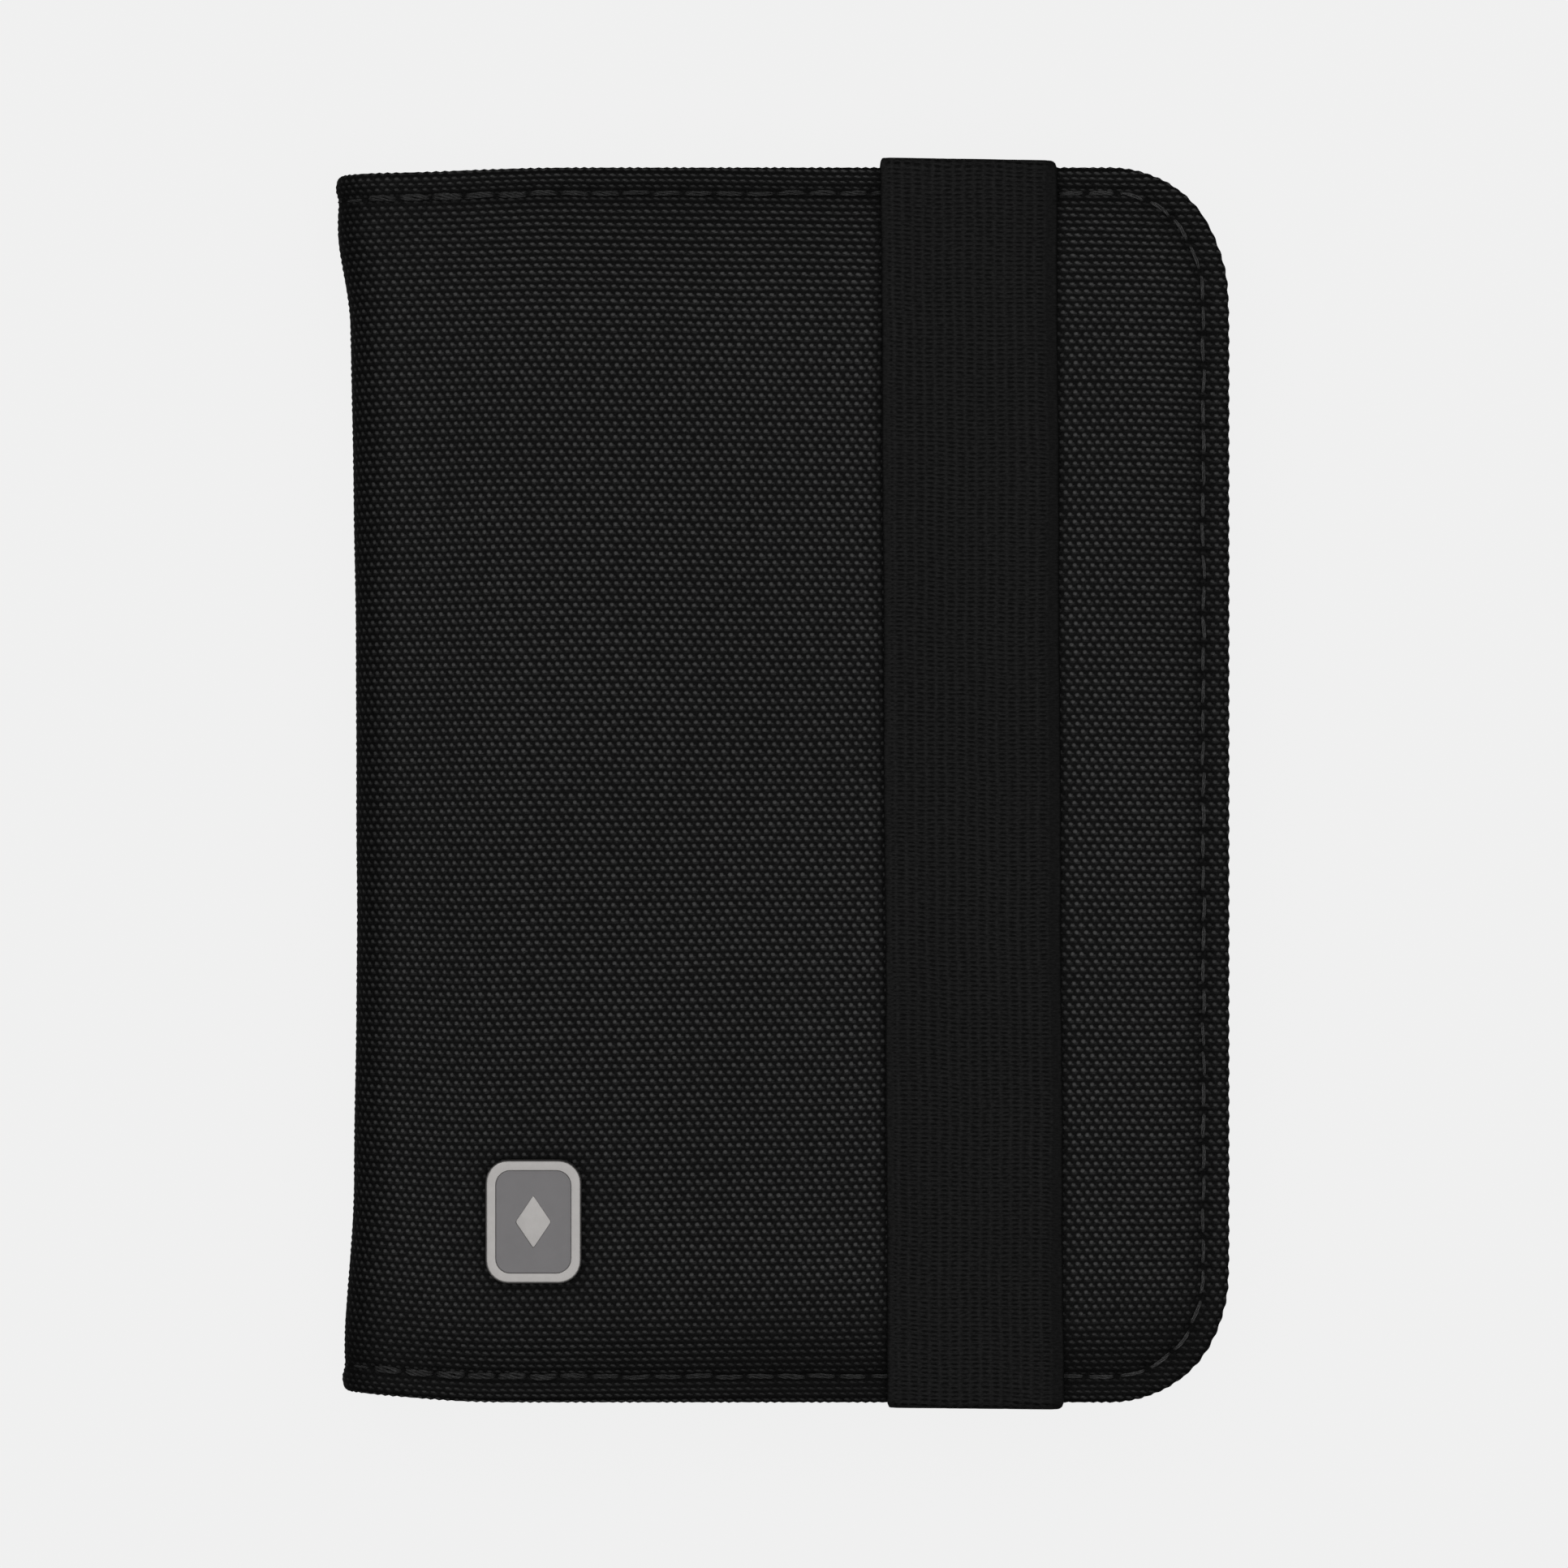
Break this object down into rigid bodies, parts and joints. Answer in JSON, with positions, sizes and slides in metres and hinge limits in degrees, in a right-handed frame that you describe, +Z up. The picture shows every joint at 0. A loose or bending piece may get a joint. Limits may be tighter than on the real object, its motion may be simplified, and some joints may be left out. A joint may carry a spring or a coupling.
{
  "type": "passport holder wallet",
  "caption": "Bifold fabric travel wallet for a passport and cards, held shut by a wide elastic band, with a small metal badge on its front cover.",
  "frame": {"origin": "middle of the closed wallet's footprint, on the surface that the back cover lies on", "axes": "+X from the spine to the free edge, +Y to the top edge, +Z up through the closed wallet to its front cover"},
  "size_m": [0.101, 0.1422, 0.0125],
  "materials": {
    "outer_fabric": "coarse plain weave, matt with faint sheen",
    "sewing_thread": "twisted thread",
    "elastic": "ribbed woven elastic",
    "satin_metal": "satin",
    "grey_enamel": "satin",
    "stiff_board": "matt",
    "pad_foam": "closed-cell foam",
    "shielding": "metallised film on felt",
    "lining_cloth": "fine plain weave",
    "pocket_cloth": "fine plain weave",
    "binding_tape": "ribbed tape"
  },
  "bodies": {
    "back_cover": {"back_shell": "outer_fabric", "back_foam": "pad_foam", "back_board": "stiff_board", "back_shield": "shielding", "back_lining": "lining_cloth", "back_edge_stitching": "sewing_thread", "passport_sleeve_gusset": "pocket_cloth", "passport_sleeve_panel": "pocket_cloth", "passport_sleeve_binding": "binding_tape", "passport_sleeve_bartacks": "sewing_thread", "band_top_tail": "elastic", "band_bottom_tail": "elastic"},
    "spine": {"spine_shell": "outer_fabric", "spine_lining": "lining_cloth"},
    "front_cover": {"front_shell": "outer_fabric", "front_foam": "pad_foam", "front_board": "stiff_board", "front_shield": "shielding", "front_lining": "lining_cloth", "front_edge_stitching": "sewing_thread", "slip_pocket": "pocket_cloth", "card_slot_1": "pocket_cloth", "card_slot_2": "pocket_cloth", "card_slot_3": "pocket_cloth", "badge_frame": "satin_metal", "badge_enamel": "grey_enamel", "badge_backing_plate": "satin_metal"},
    "band_ends": {"band_top_turn": "elastic", "band_bottom_turn": "elastic"},
    "band_middle": {"band_front_span": "elastic"}
  },
  "joints": [
    {"name": "spine_fold", "type": "hinge", "parent": "back_cover", "child": "spine", "pos_m": [-0.0499, 0, 0.0006], "axis": [0, -1, 0], "range_deg": [0, 90], "deforming": ["band_top_turn", "band_bottom_turn", "band_front_span"]},
    {"name": "cover_fold", "type": "hinge", "parent": "spine", "child": "front_cover", "pos_m": [-0.0499, 0, 0.0106], "axis": [0, -1, 0], "range_deg": [0, 90]},
    {"name": "band_settle", "type": "slide", "parent": "back_cover", "child": "band_ends", "axis": [0, 0, 1], "range_m": [-0.004, 0]},
    {"name": "band_pull", "type": "slide", "parent": "band_ends", "child": "band_middle", "axis": [0.9029, 0, 0.4299], "range_m": [0, 0.046], "stiffness_N_per_m": 120}
  ],
  "couplings": [
    {"joint": "cover_fold", "follows": "spine_fold", "ratio": 1},
    {"joint": "band_settle", "follows": "spine_fold", "m_per_rad": -0.002546}
  ]
}
